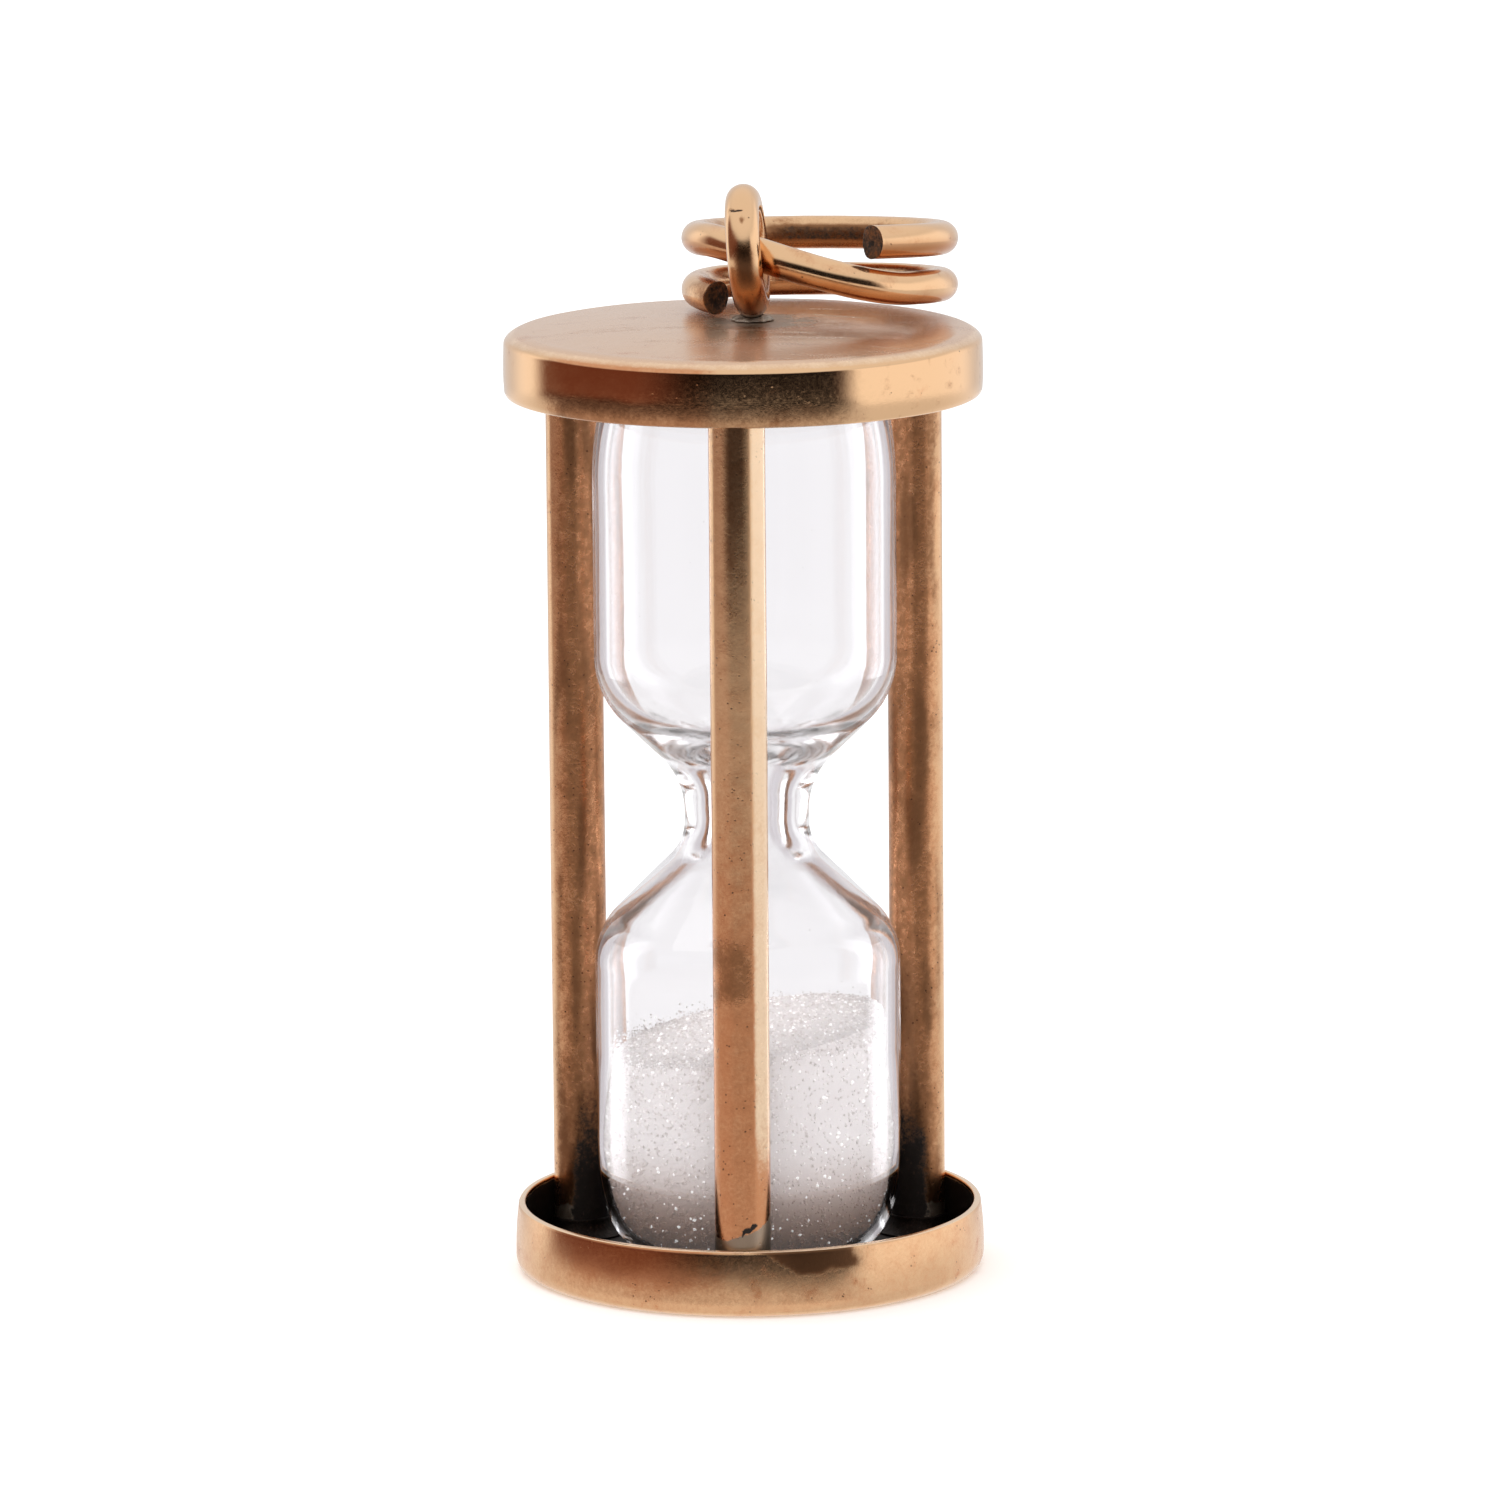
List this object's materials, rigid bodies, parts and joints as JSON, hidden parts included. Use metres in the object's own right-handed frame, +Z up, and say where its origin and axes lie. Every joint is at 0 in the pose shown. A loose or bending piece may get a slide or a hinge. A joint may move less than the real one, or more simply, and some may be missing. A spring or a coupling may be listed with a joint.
{
  "type": "hourglass charm",
  "caption": "Miniature hourglass charm: double-bulb glass vial of white sand between round gold caps on pillars, with a wire eye and a swinging split ring.",
  "frame": {"origin": "centre of the tray's underside, on the surface that the hourglass stands on", "axes": "+Z up through the vial to the eye; -Y is the front, where one pillar stands; +X is the viewer's right"},
  "size_m": [0.01, 0.01, 0.023],
  "materials": {
    "cap_gold": "satin",
    "pillar_gold": "satin",
    "wire_gold": "polished",
    "solder": "matte",
    "vial_glass": "polished",
    "white_sand": "matte",
    "cement": "matte"
  },
  "bodies": {
    "frame": {"bottom_cap": "cap_gold", "top_cap": "cap_gold", "pillar_front": "pillar_gold", "pillar_right": "pillar_gold", "pillar_left": "pillar_gold", "foot_solder_front": "solder", "foot_solder_right": "solder", "foot_solder_left": "solder", "head_solder_front": "solder", "head_solder_right": "solder", "head_solder_left": "solder", "lower_cement_bed": "cement", "upper_cement_bed": "cement", "glass_vial": "vial_glass", "filler_seal": "vial_glass", "sand": "white_sand", "eye_loop": "wire_gold", "eye_solder": "solder"},
    "ring": {"split_ring": "wire_gold"}
  },
  "joints": [
    {"name": "ring_swing", "type": "hinge", "parent": "frame", "child": "ring", "pos_m": [0.00011, 0, 0.02157], "axis": [0.9938, -0.0695, 0.0872], "range_deg": [0, 190]}
  ]
}
